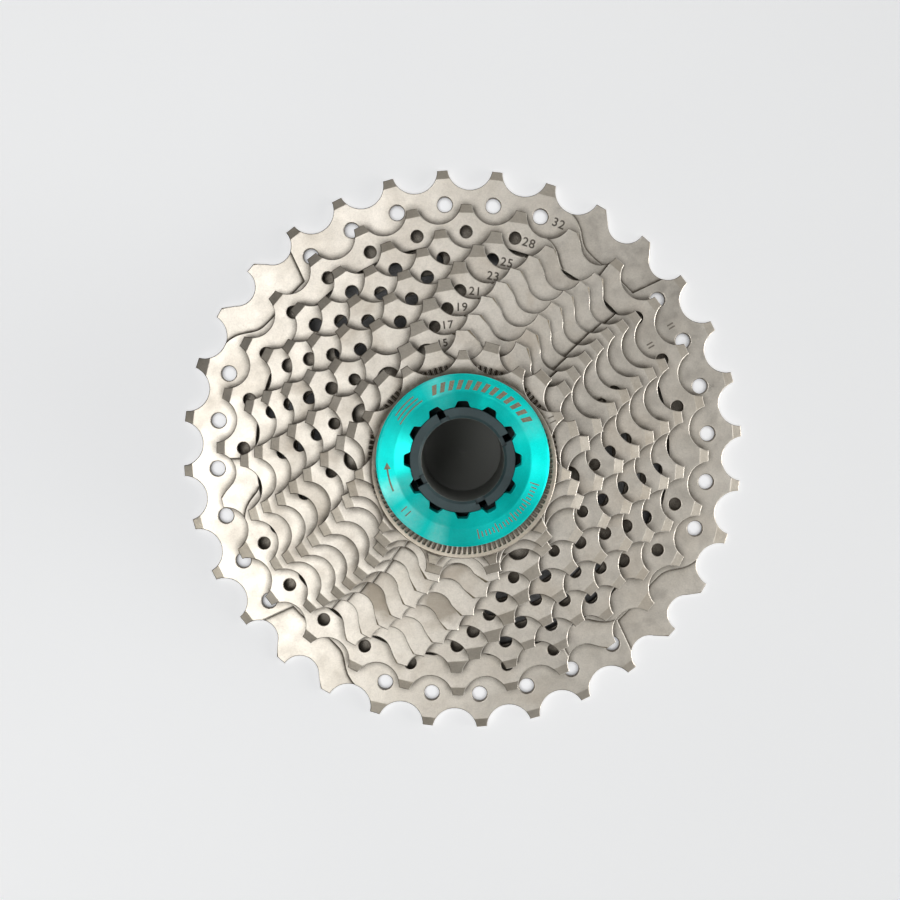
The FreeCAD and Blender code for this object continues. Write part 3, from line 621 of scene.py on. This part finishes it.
for name, draw in (("lockring_bars", ring_bars), ("lockring_lines", ring_lines),
                   ("lockring_scale", ring_scale), ("lockring_arrow", ring_arrow)):
    bm = bmesh.new()
    draw(bm)
    add_bmesh(bm, name, "lockring", MARK_RING)
numeral("lockring_count_mark", "11", 2.3, 16.0, 222.0, LOCKRING_TOP, "lockring", MARK_RING)

# ------------------------------------------------------------------ table
TABLE_HALF = 6.0
TABLE_CELLS = 12
TABLE_GAP = 0.00015  # below the lowest point of the product


def pale_table():
    """Off-white, with painted light glowing where open and a painted shadow close under the
    product.
    """
    g = Finish("pale_table")
    at = g.coords(scale=1.0)
    tone = g.ramp(g.noise(at, scale=6.0, detail=3.0),
                  [(0.3, (0.790, 0.815, 0.850)), (0.7, (0.815, 0.840, 0.875))])
    # painted shadow: the tone falls to dark grey where the product covers the floor
    openness = g.occlusion(0.06, samples=16)
    clear = g.span(openness, (0.10, 0.36))
    tone = g.mix(clear, (0.10, 0.10, 0.10), tone)
    # painted light: the glow grows toward -X and +Y, and around the product
    slope = g.vector("DOT_PRODUCT", at, (-0.95, 0.30, 0.0))
    glow = g.plus(g.span(slope, (-0.075, 0.075), to=(0.255, 0.29)),
                  g.span(openness, (0.35, 0.95), to=(0.30, 0.0)))
    normal = g.bump(g.noise(at, scale=900.0, detail=3.0), strength=0.08, distance=0.00005)
    return g.finish(tone, 0.62, 0.0, normal, Emission_Color=(1.0, 1.0, 1.012),
                    Emission_Strength=g.times(clear, glow))


def add_table():
    z = float(cad_box[0][2]) - TABLE_GAP
    steps = [-TABLE_HALF + 2 * TABLE_HALF * i / TABLE_CELLS for i in range(TABLE_CELLS + 1)]
    bm = bmesh.new()
    grid = [[bm.verts.new((x, y, z)) for y in steps] for x in steps]
    for i in range(TABLE_CELLS):
        for j in range(TABLE_CELLS):
            bm.faces.new((grid[i][j], grid[i + 1][j], grid[i + 1][j + 1], grid[i][j + 1]))
    mesh = bpy.data.meshes.new("floor")
    bm.to_mesh(mesh)
    bm.free()
    floor = bpy.data.objects.new("floor", mesh)
    bpy.context.scene.collection.objects.link(floor)
    mesh.materials.append(pale_table())


add_table()

# ------------------------------------------------------------------ world
# Spots that scale the sky: azimuth, tilt from straight up, outer and inner angle of the
# spot's soft edge, gain inside it
SKY_SPOTS = [
    (330, 8, 26, 8, 0.02),
    (198, 20, 30, 8, 1.65),
    (166, 44, 32, 8, 0.34),
    (246, 52, 42, 12, 0.38),
    (335, 66, 50, 10, 1.05),
    (352, 78, 22, 9, 6.5),
    (62, 36, 24, 6, 1.15),
]
SKY_GAIN = 1.0


def toward(azimuth, tilt):
    """Unit vector: azimuth from +X, tilt away from straight up."""
    a, t = math.radians(azimuth), math.radians(tilt)
    return (math.sin(t) * math.cos(a), math.sin(t) * math.sin(a), math.cos(t))


def build_world():
    """Pale studio, dimmer overhead and toward -X."""
    world = bpy.data.worlds.new("studio")
    bpy.context.scene.world = world
    world.use_nodes = True
    w = Nodes(world.node_tree)
    sky = w.node("TexCoord").outputs["Generated"]

    def lobe(direction, source, to):
        """Smooth change with the cosine of the angle from a direction."""
        cosine = w.vector("DOT_PRODUCT", sky, Vector(direction).normalized())
        return w.span(cosine, source, to, curve="SMOOTHSTEP")

    level = lobe(UP, (0.05, 0.60), (0.78, 0.38))
    for azimuth, tilt, outer, inner, gain in SKY_SPOTS:
        edge = (math.cos(math.radians(outer)), math.cos(math.radians(inner)))
        level = w.times(level, lobe(toward(azimuth, tilt), edge, (1.0, gain)))
    level = w.times(level, lobe((-1.0, 0.35, 0.0), (0.10, 0.75), (1.10, 0.34)))
    level = w.times(level, SKY_GAIN)
    # warmer near the horizon, neutral overhead
    tint = w.mix(lobe(UP, (0.40, 0.90), (0.0, 1.0)), (1.0, 0.965, 0.905), (1.0, 0.995, 0.985))
    background = w.node("Background", Color=tint, Strength=level)
    w.node("OutputWorld", Surface=background.outputs[0])


build_world()

# ------------------------------------------------------------------ lights
# name, azimuth, tilt, distance, (width, height), radiance, colour
PANELS = [
    ("panel_overhead_left", 208, 16, 0.84, (0.30, 0.32), 3.15, (1.0, 0.99, 0.97)),
    ("panel_overhead_right", 344, 28, 0.84, (0.32, 0.20), 2.9, (1.0, 0.99, 0.97)),
    ("panel_overhead_back", 118, 17, 0.84, (0.16, 0.22), 3.2, (1.0, 0.99, 0.98)),
    ("panel_low_left", 204, 42, 0.80, (0.07, 0.18), 4.5, (1.0, 0.97, 0.88)),
    ("panel_low_front", 250, 38, 0.80, (0.06, 0.16), 6.0, (1.0, 0.98, 0.92)),
]


def panel(name, azimuth, tilt, distance, size, radiance, color):
    """Soft panel facing the origin; its power follows from the wanted radiance."""
    light = bpy.data.lights.new(name, "AREA")
    light.shape = "RECTANGLE"
    light.size, light.size_y = size
    light.energy = radiance * math.pi * size[0] * size[1]
    light.color = color
    lamp = bpy.data.objects.new(name, light)
    bpy.context.scene.collection.objects.link(lamp)
    away = Vector(toward(azimuth, tilt))
    aim = (-away).to_track_quat("-Z", "Y").to_matrix().to_4x4()
    lamp.matrix_world = Matrix.Translation(away * distance) @ aim


for row in PANELS:
    panel(*row)

# ------------------------------------------------------------------ camera
# high above, a little to +Y, looking down and slightly toward -Y
CAMERA_POSE = Matrix(((0.9999844, -0.0002748, 0.0055783, -0.0007974),
                      (0.0, 0.998789, 0.0491984, 0.0187768),
                      (-0.005585, -0.0491976, 0.9987734, 0.3775437),
                      (0.0, 0.0, 0.0, 1.0)))
lens = bpy.data.cameras.new("camera")
lens.sensor_fit = "HORIZONTAL"
lens.sensor_width = 36.0
lens.lens = 63.76
lens.clip_start = 0.01
lens.clip_end = 20.0
camera = bpy.data.objects.new("camera", lens)
scene = bpy.context.scene
scene.collection.objects.link(camera)
camera.matrix_world = CAMERA_POSE
scene.camera = camera
scene.view_settings.view_transform = "Standard"
scene.view_settings.look = "None"
scene.view_settings.exposure = 0.0
